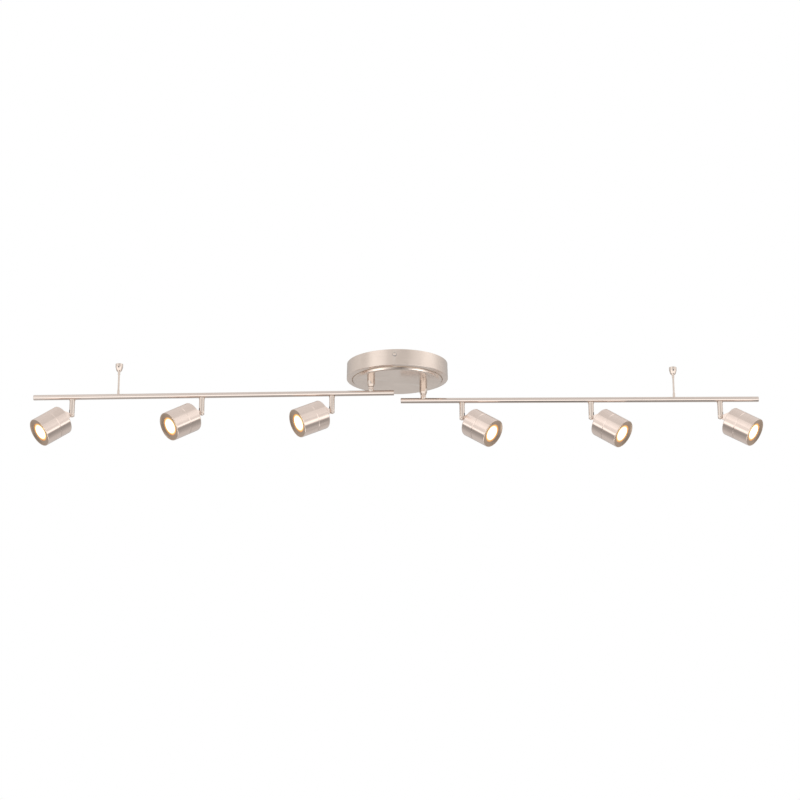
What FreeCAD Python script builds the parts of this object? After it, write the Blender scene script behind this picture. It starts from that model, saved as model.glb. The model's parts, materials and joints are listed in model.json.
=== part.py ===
import FreeCAD, Part
import math
import os
import Sketcher

# Ceiling track light: a round canopy that holds two swinging arms, each with
# three spotlights and one support that runs up to the ceiling.
# Frame: origin on the ceiling at the canopy's centre, +Z up into the ceiling,
# +X along the right arm. Every size is in millimetres and in the sheet below.

SIZES = {
    # canopy cover
    "canopy_top_radius": 88.4,
    "canopy_radius": 89.0,
    "canopy_wall": 1.2,
    "shoulder_drop": 27.8,
    "face_drop": 33.2,
    "ledge_radius": 79.0,
    "ledge_drop": 28.9,
    "face_radius": 75.5,
    "face_round": 6.0,
    "rim_round": 0.8,
    # mounting plate
    "plate_radius": 84.5,
    "plate_thickness": 1.5,
    "wire_hole_radius": 15.0,
    "ceiling_screw_spacing": 88.9,
    "ceiling_screw_radius": 2.4,
    "ear_half_width": 7.0,
    "ear_inner": 81.5,
    "ear_outer": 83.0,
    "ear_depth": 13.5,
    # side screws
    "side_screw_offset": 4.4,
    "side_screw_drop": 9.6,
    "side_screw_radius": 1.5,
    "side_screw_tap": 1.55,
    "side_screw_hole": 1.8,
    "side_screw_head": 3.3,
    "side_screw_head_depth": 2.4,
    "side_screw_seat": 88.7,
    "side_screw_reach": 80.0,
    # driver, terminal block, earth screw
    "driver_across": 36.0,
    "driver_along": 66.0,
    "driver_depth": 21.0,
    "driver_round": 3.0,
    "flange_across": 14.0,
    "flange_along": 84.0,
    "flange_thickness": 1.6,
    "driver_screw_spacing": 75.0,
    "driver_screw_radius": 1.5,
    "driver_screw_hole": 1.6,
    "driver_screw_head": 3.0,
    "driver_screw_head_depth": 2.0,
    "terminal_across": 30.0,
    "terminal_along": 18.0,
    "terminal_depth": 14.0,
    "terminal_pitch": 9.0,
    "terminal_wire_radius": 1.8,
    "terminal_well_radius": 2.0,
    "terminal_well_depth": 5.0,
    "earth_screw_radius": 1.9,
    "earth_screw_hole": 1.95,
    "earth_head_radius": 4.4,
    "earth_head_depth": 2.6,
    "earth_screw_length": 9.0,
    # posts
    "post_radius": 6.9,
    "post_straight_drop": 44.5,
    "post_bottom_drop": 48.8,
    "post_tip_radius": 5.2,
    "shank_radius": 4.9,
    "shank_top_drop": 22.5,
    "shank_hole_radius": 5.0,
    "post_bore_radius": 2.55,
    "locknut_radius": 8.2,
    "locknut_bore_radius": 4.95,
    "locknut_height": 5.5,
    # arms
    "bar_drop": 60.0,
    "bar_radius": 4.75,
    "bar_bore_radius": 3.45,
    "bar_length": 632.0,
    "bar_tail": 40.0,
    "cap_thickness": 1.2,
    "plug_radius": 3.4,
    "plug_length": 6.0,
    "cap_bevel": 0.5,
    "first_stem": 68.25,
    "stem_pitch": 227.6,
    "support_distance": 443.0,
    # swivel neck
    "neck_radius": 4.8,
    "neck_top": 10.9,
    "neck_bevel": 0.6,
    "neck_spigot_radius": 3.0,
    "neck_spigot_hole": 3.05,
    "neck_spigot_bottom": -1.0,
    "saddle_radius": 4.8,
    "pin_radius": 2.5,
    "pin_top": 39.7,
    "groove_radius": 2.0,
    "groove_low": 38.1,
    "groove_high": 38.9,
    "clip_radius": 4.6,
    "clip_bore_radius": 2.05,
    "clip_thickness": 0.7,
    "clip_gap": 2.4,
    # support rod and cup
    "rod_radius": 1.6,
    "rod_top": 54.5,
    "ferrule_radius": 2.1,
    "ferrule_hole": 2.15,
    "ferrule_top": 12.0,
    "cup_radius": 6.6,
    "cup_straight": 6.0,
    "cup_waist_radius": 5.0,
    "cup_waist_drop": 12.4,
    "cup_drop": 14.9,
    "cup_foot_radius": 2.6,
    "cup_round": 6.0,
    "cup_waist_round": 3.0,
    "nose_radius": 2.1,
    "nose_drop": 20.0,
    "cup_bore_radius": 1.65,
    "cup_thread_radius": 2.1,
    "cup_thread_depth": 5.0,
    "set_screw_drop": 7.3,
    "set_screw_radius": 1.25,
    "set_screw_hole": 1.3,
    "set_screw_inner": 1.7,
    "set_screw_length": 3.2,
    "set_screw_socket": 0.7,
    "set_screw_socket_depth": 1.4,
    # spotlight stem and tilt pin
    "stem_radius": 4.75,
    "stem_flange_radius": 5.3,
    "stem_flange_top": -5.05,
    "stem_flange_bottom": -6.6,
    "stem_bottom": -35.8,
    "stem_round": 1.8,
    "stem_spigot_radius": 2.6,
    "stem_spigot_hole": 2.65,
    "stem_spigot_top": -1.5,
    "pivot_drop": 31.4,
    "slot_width": 3.0,
    "slot_top": -23.6,
    "tilt_pin_radius": 1.5,
    "tilt_pin_hole": 1.55,
    "tilt_head_radius": 2.4,
    "tilt_head_depth": 1.1,
    # spotlight can
    "can_radius": 25.4,
    "can_rear": 20.6,
    "can_split": 43.2,
    "can_groove": 0.8,
    "groove_floor_radius": 24.8,
    "can_front": 72.2,
    "can_wall": 2.0,
    "can_back_wall": 3.0,
    "can_spigot_radius": 24.0,
    "can_spigot_end": 47.0,
    "barrel_seat_radius": 24.05,
    "barrel_seat_end": 47.5,
    "can_edge_round": 1.5,
    "tab_half_height": 3.6,
    "gusset_start": 2.0,
    "gusset_top": 23.4,
    "tab_thickness": 2.4,
    # bezel, lens, lamp module
    "bezel_rim_radius": 24.5,
    "bezel_recess": 2.05,
    "bezel_opening": 16.4,
    "bezel_lip": 0.8,
    "lens_radius": 17.4,
    "lens_thickness": 2.4,
    "lens_seat_radius": 17.5,
    "lens_bevel": 0.3,
    "barrel_bore_radius": 23.3,
    "barrel_bore_end": 66.4,
    "module_radius": 23.2,
    "module_rear": 50.0,
    "module_core_radius": 9.0,
    "module_fin": 1.6,
    "module_front": 66.3,
    "chip_radius": 11.0,
    "chip_front": 66.8,
}

UP = FreeCAD.Vector(0, 0, 1)
AXIS_X = FreeCAD.Vector(1, 0, 0)
AXIS_Y = FreeCAD.Vector(0, 1, 0)

POST = FreeCAD.Vector(45.8, 24.1, 0)
DRIVER_CENTRE = FreeCAD.Vector(36, -27, 0)
TERMINAL_CENTRE = FreeCAD.Vector(-38, 22, 0)
EARTH_SCREW = FreeCAD.Vector(30, 62, 0)
LEAD_RADIUS = 1.0
LEAD_HEIGHT = -9.0
LEAD_ENDS = ((-42.5, -20.0), (-33.5, -12.5))

# Each arm: its post's side, and the direction its outer end points, in degrees from +X.
ARMS = {"left": (-1, 178.1), "right": (1, 0.0)}

# Each spotlight from left to right: its arm, its place counted out from the post,
# the direction it faces, in degrees from +X, and how far it tilts down from level.
SPOTLIGHTS = (
    ("left", 2, 213.2, 35.2),
    ("left", 1, 214.5, 29.0),
    ("left", 0, 206.7, 24.9),
    ("right", 0, 328.9, 31.9),
    ("right", 1, 329.2, 33.6),
    ("right", 2, 330.3, 31.7),
)

doc = FreeCAD.newDocument("track_light")
sheet = doc.addObject("Spreadsheet::Sheet", "sizes")
for row, (alias, value) in enumerate(SIZES.items(), start=1):
    sheet.set("A%d" % row, alias)
    sheet.set("B%d" % row, str(value))
    sheet.setAlias("B%d" % row, alias)
doc.recompute()

subparts = []


def size(alias):
    """A size read back from the sheet."""
    return float(sheet.get(alias))


def keep(item, label, placement=None):
    """Name a finished sub-part, put it in its place and list it for export."""
    item.Label = label
    if placement is not None:
        item.Placement = placement
    subparts.append(item)


# ---------------------------------------------------------------- sketch and feature helpers

def plane(body, role):
    return next(item for item in body.Origin.OriginFeatures if item.Role == role)


def new_sketch(body, role, lift=None):
    """A sketch on one of the body's own origin planes, lifted off it by an expression."""
    sketch = body.newObject("Sketcher::SketchObject", body.Name + "_sketch")
    sketch.AttachmentSupport = [(plane(body, role), "")]
    sketch.MapMode = "FlatFace"
    if lift is not None:
        sketch.setExpression(".AttachmentOffset.Base.z", lift)
    return sketch


def bind(sketch, kind, references, current, expression):
    """Add a driving constraint and bind its value to the sheet."""
    index = sketch.addConstraint(Sketcher.Constraint(kind, *references, current))
    sketch.setExpression("Constraints[%d]" % index, expression)


def outline(body, role, corners, lift=None):
    """A closed outline of straight lines, each corner given as two expressions."""
    sketch = new_sketch(body, role, lift)
    count = len(corners)
    turn = 2 * math.pi / count
    start = [FreeCAD.Vector(20 * math.cos(turn * i), 20 * math.sin(turn * i), 0) for i in range(count)]
    for i in range(count):
        sketch.addGeometry(Part.LineSegment(start[i], start[(i + 1) % count]))
    for i in range(count):
        sketch.addConstraint(Sketcher.Constraint("Coincident", i, 2, (i + 1) % count, 1))
    for i, (across, along) in enumerate(corners):
        bind(sketch, "DistanceX", (-1, 1, i, 1), start[i].x, across)
        bind(sketch, "DistanceY", (-1, 1, i, 1), start[i].y, along)
    return sketch


def box_outline(body, role, low_x, high_x, low_y, high_y, lift=None):
    corners = ((low_x, low_y), (high_x, low_y), (high_x, high_y), (low_x, high_y))
    return outline(body, role, corners, lift)


def circles(body, role, rounds, lift=None):
    """One circle for each (x, y, radius) of expressions."""
    sketch = new_sketch(body, role, lift)
    for i, (across, along, radius) in enumerate(rounds):
        centre = FreeCAD.Vector(10.0 * (i + 1), 10, 0)
        sketch.addGeometry(Part.Circle(centre, UP, 2.0))
        bind(sketch, "DistanceX", (-1, 1, i, 3), centre.x, across)
        bind(sketch, "DistanceY", (-1, 1, i, 3), centre.y, along)
        bind(sketch, "Radius", (i,), 2.0, radius)
    return sketch


def new_body(name):
    return doc.addObject("PartDesign::Body", name)


def revolve(body, corners, axis="V_Axis"):
    """Turn an outline in the XZ plane about Z (V_Axis) or X (H_Axis)."""
    sketch = outline(body, "XZ_Plane", corners)
    feature = body.newObject("PartDesign::Revolution", body.Name + "_turn")
    feature.Profile = sketch
    feature.ReferenceAxis = (sketch, [axis])
    feature.Angle = 360
    return feature


def pad(body, sketch, length, downward=False, both=False):
    feature = body.newObject("PartDesign::Pad", body.Name + "_pad")
    feature.Profile = sketch
    feature.setExpression("Length", length)
    feature.Reversed = downward
    feature.Midplane = both
    return feature


def pocket(body, sketch, length=None, upward=False, both=False):
    """Cut a sketch out of the body, right through unless a length is given."""
    doc.recompute()
    before = body.Shape.Volume
    feature = body.newObject("PartDesign::Pocket", body.Name + "_pocket")
    feature.Profile = sketch
    feature.Reversed = upward
    feature.Midplane = both
    if length is None:
        feature.Type = "ThroughAll"
    else:
        feature.setExpression("Length", length)
    doc.recompute()
    if body.Shape.Volume > before - 1e-3:
        raise RuntimeError("a pocket cuts nothing in " + body.Name)
    return feature


def ring_edges(shape, radius, place, axis=UP):
    """Names of the round edges with this radius whose centre is this far along the axis."""
    names = []
    for index, edge in enumerate(shape.Edges, start=1):
        if not isinstance(edge.Curve, Part.Circle):
            continue
        if abs(edge.Curve.Radius - radius) < 1e-3 and abs(edge.Curve.Center.dot(axis) - place) < 1e-3:
            names.append("Edge%d" % index)
    return names


def dress(body, kind, edges, expression):
    """Round or bevel the named edges of the body's last feature."""
    if not edges:
        raise RuntimeError("no edges found to dress in " + body.Name)
    base = body.Tip
    feature = body.newObject("PartDesign::" + kind, body.Name + "_" + kind.lower())
    feature.Base = (base, edges)
    feature.setExpression("Radius" if kind == "Fillet" else "Size", expression)
    doc.recompute()
    return feature


def round_ring(body, radius, place, expression, axis=UP):
    doc.recompute()
    dress(body, "Fillet", ring_edges(body.Shape, radius, place, axis), expression)


def bevel_ring(body, radius, place, expression, axis=UP):
    doc.recompute()
    dress(body, "Chamfer", ring_edges(body.Shape, radius, place, axis), expression)


def pair(item, base, normal):
    """The item and its mirror image, as one group of two solids."""
    mirror = doc.addObject("Part::Mirroring", item.Name + "_mirror")
    mirror.Source = item
    mirror.Base = base
    mirror.Normal = normal
    group = doc.addObject("Part::Compound", item.Name + "_pair")
    group.Links = [item, mirror]
    return group


# ---------------------------------------------------------------- canopy

def make_canopy_cover():
    """A drawn cup: a straight wall, a narrow ledge, a rounded step and a flat face."""
    body = new_body("canopy_cover_body")
    revolve(body, (
        ("sizes.canopy_top_radius - sizes.canopy_wall", "0"),
        ("sizes.canopy_top_radius", "0"),
        ("sizes.canopy_radius", "-sizes.shoulder_drop"),
        ("sizes.ledge_radius", "-sizes.ledge_drop"),
        ("sizes.face_radius", "-sizes.face_drop"),
        ("0", "-sizes.face_drop"),
        ("0", "sizes.canopy_wall - sizes.face_drop"),
        ("sizes.face_radius - sizes.canopy_wall / 2", "sizes.canopy_wall - sizes.face_drop"),
        ("sizes.ledge_radius - sizes.canopy_wall / 2", "sizes.canopy_wall - sizes.ledge_drop"),
        ("sizes.canopy_radius - sizes.canopy_wall", "sizes.canopy_wall - sizes.shoulder_drop"),
    ))
    face_place = -size("face_drop")
    round_ring(body, size("face_radius"), face_place, "sizes.face_round")
    round_ring(body, size("canopy_radius"), -size("shoulder_drop"), "sizes.rim_round")
    posts = [("%g" % (side * POST.x), "%g" % (side * POST.y), "sizes.shank_hole_radius") for side in (-1, 1)]
    pocket(body, circles(body, "XY_Plane", posts))
    screws = [("-sizes.side_screw_offset", "-sizes.side_screw_drop", "sizes.side_screw_hole")]
    pocket(body, circles(body, "XZ_Plane", screws), both=True)
    keep(body, "canopy_cover")


def make_mounting_plate():
    """A round steel plate with two folded ears that take the cover's side screws."""
    body = new_body("mounting_plate_body")
    pad(body, circles(body, "XY_Plane", [("0", "0", "sizes.plate_radius")]), "sizes.plate_thickness", True)
    left = "-sizes.side_screw_offset - sizes.ear_half_width"
    right = "-sizes.side_screw_offset + sizes.ear_half_width"
    for near, far in (("sizes.ear_inner", "sizes.ear_outer"), ("-sizes.ear_outer", "-sizes.ear_inner")):
        ear = box_outline(body, "XY_Plane", left, right, near, far, "-sizes.plate_thickness")
        pad(body, ear, "sizes.ear_depth", True)
    ear_screws = [("-sizes.side_screw_offset", "-sizes.side_screw_drop", "sizes.side_screw_tap")]
    pocket(body, circles(body, "XZ_Plane", ear_screws), both=True)
    holes = [("0", "0", "sizes.wire_hole_radius")]
    holes.append(("%g" % EARTH_SCREW.x, "%g" % EARTH_SCREW.y, "sizes.earth_screw_hole"))
    for sign in ("-", "+"):
        holes.append(("0", sign + "sizes.ceiling_screw_spacing / 2", "sizes.ceiling_screw_radius"))
        along = "%g %s sizes.driver_screw_spacing / 2" % (DRIVER_CENTRE.y, sign)
        holes.append(("%g" % DRIVER_CENTRE.x, along, "sizes.driver_screw_hole"))
    pocket(body, circles(body, "XY_Plane", holes), "2 * sizes.plate_thickness")
    keep(body, "mounting_plate")


def make_side_screws():
    """Two round-headed screws that hold the cover to the plate's ears."""
    body = new_body("side_screw_body")
    revolve(body, (
        ("sizes.side_screw_reach", "0"),
        ("sizes.side_screw_reach", "sizes.side_screw_radius"),
        ("sizes.side_screw_seat", "sizes.side_screw_radius"),
        ("sizes.side_screw_seat", "sizes.side_screw_head"),
        ("sizes.side_screw_seat + sizes.side_screw_head_depth", "sizes.side_screw_head"),
        ("sizes.side_screw_seat + sizes.side_screw_head_depth", "0"),
    ), "H_Axis")
    head_end = size("side_screw_seat") + size("side_screw_head_depth")
    bevel_ring(body, size("side_screw_head"), head_end, "sizes.cap_bevel", AXIS_X)
    place = FreeCAD.Vector(-size("side_screw_offset"), 0, -size("side_screw_drop"))
    body.Placement = FreeCAD.Placement(place, FreeCAD.Rotation(UP, 90))
    keep(pair(body, FreeCAD.Vector(), AXIS_Y), "side_screws")


def make_led_driver():
    """The sealed low-voltage supply, on a flange that is screwed to the plate."""
    body = new_body("led_driver_body")
    top = "-sizes.plate_thickness"
    case = box_outline(body, "XY_Plane", "-sizes.driver_across / 2", "sizes.driver_across / 2",
                       "-sizes.driver_along / 2", "sizes.driver_along / 2", top)
    pad(body, case, "sizes.driver_depth", True)
    doc.recompute()
    uprights = ["Edge%d" % i for i, edge in enumerate(body.Shape.Edges, start=1)
                if edge.Vertexes[0].Point.sub(edge.Vertexes[1].Point).cross(UP).Length < 1e-6]
    dress(body, "Fillet", uprights, "sizes.driver_round")
    flange = box_outline(body, "XY_Plane", "-sizes.flange_across / 2", "sizes.flange_across / 2",
                         "-sizes.flange_along / 2", "sizes.flange_along / 2", top)
    pad(body, flange, "sizes.flange_thickness", True)
    holes = [("0", sign + "sizes.driver_screw_spacing / 2", "sizes.driver_screw_hole") for sign in ("-", "+")]
    pocket(body, circles(body, "XY_Plane", holes, top), "2 * sizes.flange_thickness")
    keep(body, "led_driver", FreeCAD.Placement(DRIVER_CENTRE, FreeCAD.Rotation()))


def make_driver_screws():
    """Two screws that hold the driver's flange to the plate."""
    body = new_body("driver_screw_body")
    seat = "-sizes.plate_thickness - sizes.flange_thickness"
    revolve(body, (
        ("0", "0"),
        ("sizes.driver_screw_radius", "0"),
        ("sizes.driver_screw_radius", seat),
        ("sizes.driver_screw_head", seat),
        ("sizes.driver_screw_head", seat + " - sizes.driver_screw_head_depth"),
        ("0", seat + " - sizes.driver_screw_head_depth"),
    ))
    offset = FreeCAD.Vector(0, size("driver_screw_spacing") / 2, 0)
    body.Placement = FreeCAD.Placement(DRIVER_CENTRE + offset, FreeCAD.Rotation())
    keep(pair(body, DRIVER_CENTRE, AXIS_Y), "driver_screws")


def make_terminal_block():
    """A three-way block: wires enter from both sides, clamp screws from below."""
    body = new_body("terminal_block_body")
    top = "-sizes.plate_thickness"
    block = box_outline(body, "XY_Plane", "-sizes.terminal_across / 2", "sizes.terminal_across / 2",
                        "-sizes.terminal_along / 2", "sizes.terminal_along / 2", top)
    pad(body, block, "sizes.terminal_depth", True)
    ways = ["%d * sizes.terminal_pitch" % way for way in (-1, 0, 1)]
    wires = [(way, "%g" % LEAD_HEIGHT, "sizes.terminal_wire_radius") for way in ways]
    pocket(body, circles(body, "XZ_Plane", wires), both=True)
    wells = [(way, "0", "sizes.terminal_well_radius") for way in ways]
    bottom = "-sizes.plate_thickness - sizes.terminal_depth"
    pocket(body, circles(body, "XY_Plane", wells, bottom), "sizes.terminal_well_depth", upward=True)
    keep(body, "terminal_block", FreeCAD.Placement(TERMINAL_CENTRE, FreeCAD.Rotation()))


def make_earth_screw():
    """A hexagon-headed screw for the earth wire."""
    head = doc.addObject("Part::Prism", "earth_screw_head")
    head.Polygon = 6
    head.setExpression("Circumradius", "sizes.earth_head_radius")
    head.setExpression("Height", "sizes.earth_head_depth")
    head.setExpression(".Placement.Base.z", "-sizes.earth_screw_length")
    shank = doc.addObject("Part::Cylinder", "earth_screw_shank")
    shank.setExpression("Radius", "sizes.earth_screw_radius")
    shank.setExpression("Height", "sizes.earth_screw_length")
    shank.setExpression(".Placement.Base.z", "-sizes.earth_screw_length")
    screw = doc.addObject("Part::Fuse", "earth_screw_solid")
    screw.Base = head
    screw.Tool = shank
    keep(screw, "earth_screw", FreeCAD.Placement(EARTH_SCREW, FreeCAD.Rotation()))


def make_post_sleeves():
    """Two hollow posts that clamp the cover's face and carry the arms' pins."""
    body = new_body("post_sleeve_body")
    revolve(body, (
        ("sizes.post_bore_radius", "-sizes.post_bottom_drop"),
        ("sizes.post_tip_radius", "-sizes.post_bottom_drop"),
        ("sizes.post_radius", "-sizes.post_straight_drop"),
        ("sizes.post_radius", "-sizes.face_drop"),
        ("sizes.shank_radius", "-sizes.face_drop"),
        ("sizes.shank_radius", "-sizes.shank_top_drop"),
        ("sizes.post_bore_radius", "-sizes.shank_top_drop"),
    ))
    body.Placement = FreeCAD.Placement(POST, FreeCAD.Rotation())
    keep(pair(body, FreeCAD.Vector(), POST), "post_sleeves")


def make_post_locknuts():
    """Two hexagon nuts that hold the posts, inside the cover."""
    blank = doc.addObject("Part::Prism", "locknut_blank")
    blank.Polygon = 6
    blank.setExpression("Circumradius", "sizes.locknut_radius")
    blank.setExpression("Height", "sizes.locknut_height")
    bore = doc.addObject("Part::Cylinder", "locknut_bore")
    bore.setExpression("Radius", "sizes.locknut_bore_radius")
    bore.setExpression("Height", "sizes.locknut_height")
    nut = doc.addObject("Part::Cut", "locknut_solid")
    nut.Base = blank
    nut.Tool = bore
    seat = FreeCAD.Vector(0, 0, size("canopy_wall") - size("face_drop"))
    nut.Placement = FreeCAD.Placement(POST + seat, FreeCAD.Rotation())
    keep(pair(nut, FreeCAD.Vector(), POST), "post_locknuts")


def make_driver_leads():
    """Two leads from the terminal block to the driver, each with one bend."""
    start_y = TERMINAL_CENTRE.y - size("terminal_along") / 2
    end_x = DRIVER_CENTRE.x - size("driver_across") / 2
    solids = []
    for lead_x, lead_y in LEAD_ENDS:
        bend = 0.45 * (start_y - lead_y)
        diagonal = bend * (1 - math.sqrt(0.5))
        start = FreeCAD.Vector(lead_x, start_y, LEAD_HEIGHT)
        bend_in = FreeCAD.Vector(lead_x, lead_y + bend, LEAD_HEIGHT)
        bend_middle = FreeCAD.Vector(lead_x + diagonal, lead_y + diagonal, LEAD_HEIGHT)
        bend_out = FreeCAD.Vector(lead_x + bend, lead_y, LEAD_HEIGHT)
        end = FreeCAD.Vector(end_x, lead_y, LEAD_HEIGHT)
        route = Part.Wire([
            Part.LineSegment(start, bend_in).toShape(),
            Part.Arc(bend_in, bend_middle, bend_out).toShape(),
            Part.LineSegment(bend_out, end).toShape(),
        ])
        section = Part.Wire([Part.Circle(start, AXIS_Y, LEAD_RADIUS).toShape()])
        lead = route.makePipeShell([section], True, False)
        expected = math.pi * LEAD_RADIUS ** 2 * route.Length
        print("lead bend radius %.1f, volume against section times length %.4f"
              % (bend, lead.Volume / expected))
        solids.append(lead)
    leads = doc.addObject("Part::Feature", "driver_leads_shape")
    leads.Shape = Part.makeCompound(solids)
    keep(leads, "driver_leads", FreeCAD.Placement())


# ---------------------------------------------------------------- arms

def arm_placement(arm):
    """The arm's own frame: its post's axis at the bar's height, X out along the bar."""
    side, direction = ARMS[arm]
    base = POST * side - UP * size("bar_drop")
    return FreeCAD.Placement(base, FreeCAD.Rotation(UP, direction))


def make_arm_tube(arm):
    """The round bar, with holes for the neck and support above and the stems below."""
    body = new_body("arm_tube_" + arm + "_body")
    rounds = [("0", "0", "sizes.bar_radius"), ("0", "0", "sizes.bar_bore_radius")]
    section = circles(body, "YZ_Plane", rounds, "sizes.cap_thickness - sizes.bar_tail")
    pad(body, section, "sizes.bar_length - 2 * sizes.cap_thickness")
    stems = [("sizes.first_stem + %d * sizes.stem_pitch" % i, "0", "sizes.stem_spigot_hole") for i in range(3)]
    pocket(body, circles(body, "XY_Plane", stems), "2 * sizes.bar_radius")
    above = [("0", "0", "sizes.neck_spigot_hole"), ("sizes.support_distance", "0", "sizes.ferrule_hole")]
    pocket(body, circles(body, "XY_Plane", above), "2 * sizes.bar_radius", upward=True)
    keep(body, "arm_tube_" + arm, arm_placement(arm))


def make_end_caps(arm):
    """Flush plugs that close both ends of the bar."""
    body = new_body("end_cap_" + arm + "_body")
    revolve(body, (
        ("-sizes.bar_tail", "0"),
        ("-sizes.bar_tail", "sizes.bar_radius"),
        ("sizes.cap_thickness - sizes.bar_tail", "sizes.bar_radius"),
        ("sizes.cap_thickness - sizes.bar_tail", "sizes.plug_radius"),
        ("sizes.plug_length - sizes.bar_tail", "sizes.plug_radius"),
        ("sizes.plug_length - sizes.bar_tail", "0"),
    ), "H_Axis")
    bevel_ring(body, size("bar_radius"), -size("bar_tail"), "sizes.cap_bevel", AXIS_X)
    middle = AXIS_X * (size("bar_length") / 2 - size("bar_tail"))
    keep(pair(body, middle, AXIS_X), "end_caps_" + arm, arm_placement(arm))


def make_swivel_neck(arm):
    """The neck that saddles the bar and turns in the post on a grooved pin."""
    body = new_body("swivel_neck_" + arm + "_body")
    revolve(body, (
        ("0", "0"),
        ("sizes.neck_radius", "0"),
        ("sizes.neck_radius", "sizes.neck_top"),
        ("sizes.pin_radius", "sizes.neck_top"),
        ("sizes.pin_radius", "sizes.groove_low"),
        ("sizes.groove_radius", "sizes.groove_low"),
        ("sizes.groove_radius", "sizes.groove_high"),
        ("sizes.pin_radius", "sizes.groove_high"),
        ("sizes.pin_radius", "sizes.pin_top"),
        ("0", "sizes.pin_top"),
    ))
    pocket(body, circles(body, "YZ_Plane", [("0", "0", "sizes.saddle_radius")]), both=True)
    bevel_ring(body, size("neck_radius"), size("neck_top"), "sizes.neck_bevel")
    spigot = circles(body, "XY_Plane", [("0", "0", "sizes.neck_spigot_radius")], "sizes.neck_spigot_bottom")
    pad(body, spigot, "sizes.bar_radius + 1 - sizes.neck_spigot_bottom")
    keep(body, "swivel_neck_" + arm, arm_placement(arm))


def make_neck_clip(arm):
    """The open ring in the pin's groove that holds the arm up in its post."""
    body = new_body("neck_clip_" + arm + "_body")
    ring = [("0", "0", "sizes.clip_radius"), ("0", "0", "sizes.clip_bore_radius")]
    pad(body, circles(body, "XY_Plane", ring, "sizes.groove_low"), "sizes.clip_thickness")
    gap = box_outline(body, "XY_Plane", "0", "2 * sizes.clip_radius",
                      "-sizes.clip_gap / 2", "sizes.clip_gap / 2", "sizes.groove_low")
    pocket(body, gap, "2 * sizes.clip_thickness", upward=True)
    keep(body, "neck_clip_" + arm, arm_placement(arm))


def make_support_rod(arm):
    """The thin rod up to the ceiling, with a ferrule where it meets the bar."""
    body = new_body("support_rod_" + arm + "_body")
    revolve(body, (
        ("0", "0"),
        ("sizes.ferrule_radius", "0"),
        ("sizes.ferrule_radius", "sizes.ferrule_top"),
        ("sizes.rod_radius", "sizes.ferrule_top"),
        ("sizes.rod_radius", "sizes.rod_top"),
        ("0", "sizes.rod_top"),
    ))
    keep(body, "support_rod_" + arm, arm_placement(arm) * at(size("support_distance")))


def at(distance, height=0.0):
    """A place out along the arm's bar, and above its centre line."""
    return FreeCAD.Placement(FreeCAD.Vector(distance, 0, height), FreeCAD.Rotation())


# ---------------------------------------------------------------- support cups

def cup_placement(arm):
    """The cup's own frame: on the ceiling over the support rod, set screw towards -Y."""
    centre = arm_placement(arm) * at(size("support_distance"), size("bar_drop"))
    return FreeCAD.Placement(centre.Base, FreeCAD.Rotation())


def make_support_cup(arm):
    """A turned cup against the ceiling, bored for the rod and threaded for a stud."""
    body = new_body("support_cup_" + arm + "_body")
    revolve(body, (
        ("sizes.cup_thread_radius", "0"),
        ("sizes.cup_radius", "0"),
        ("sizes.cup_radius", "-sizes.cup_straight"),
        ("sizes.cup_waist_radius", "-sizes.cup_waist_drop"),
        ("sizes.cup_foot_radius", "-sizes.cup_drop"),
        ("sizes.nose_radius", "-sizes.cup_drop"),
        ("sizes.nose_radius", "-sizes.nose_drop"),
        ("sizes.cup_bore_radius", "-sizes.nose_drop"),
        ("sizes.cup_bore_radius", "-sizes.cup_thread_depth"),
        ("sizes.cup_thread_radius", "-sizes.cup_thread_depth"),
    ))
    round_ring(body, size("cup_radius"), -size("cup_straight"), "sizes.cup_round")
    round_ring(body, size("cup_waist_radius"), -size("cup_waist_drop"), "sizes.cup_waist_round")
    hole = circles(body, "XZ_Plane", [("0", "-sizes.set_screw_drop", "sizes.set_screw_hole")])
    pocket(body, hole, "2 * sizes.cup_radius", upward=True)
    keep(body, "support_cup_" + arm, cup_placement(arm))


def make_cup_set_screw(arm):
    """The small socket screw that clamps the cup on its rod."""
    body = new_body("cup_set_screw_" + arm + "_body")
    outer = "sizes.set_screw_inner + sizes.set_screw_length"
    revolve(body, (
        ("sizes.set_screw_inner", "0"),
        ("sizes.set_screw_inner", "sizes.set_screw_radius"),
        (outer, "sizes.set_screw_radius"),
        (outer, "sizes.set_screw_socket"),
        (outer + " - sizes.set_screw_socket_depth", "sizes.set_screw_socket"),
        (outer + " - sizes.set_screw_socket_depth", "0"),
    ), "H_Axis")
    drop = FreeCAD.Placement(UP * -size("set_screw_drop"), FreeCAD.Rotation(UP, -90))
    keep(body, "cup_set_screw_" + arm, cup_placement(arm) * drop)


# ---------------------------------------------------------------- spotlights

def stem_placement(spotlight):
    """The stem's own frame: its axis at the bar's height, X the way the light faces."""
    arm, place, direction, _ = spotlight
    along = size("first_stem") + place * size("stem_pitch")
    centre = arm_placement(arm) * at(along)
    return FreeCAD.Placement(centre.Base, FreeCAD.Rotation(UP, direction))


def can_placement(spotlight):
    """The can's own frame: origin on the tilt pin, X along the beam."""
    tilt = spotlight[3]
    pivot = FreeCAD.Placement(UP * -size("pivot_drop"), FreeCAD.Rotation(AXIS_Y, tilt))
    return stem_placement(spotlight) * pivot


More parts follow.
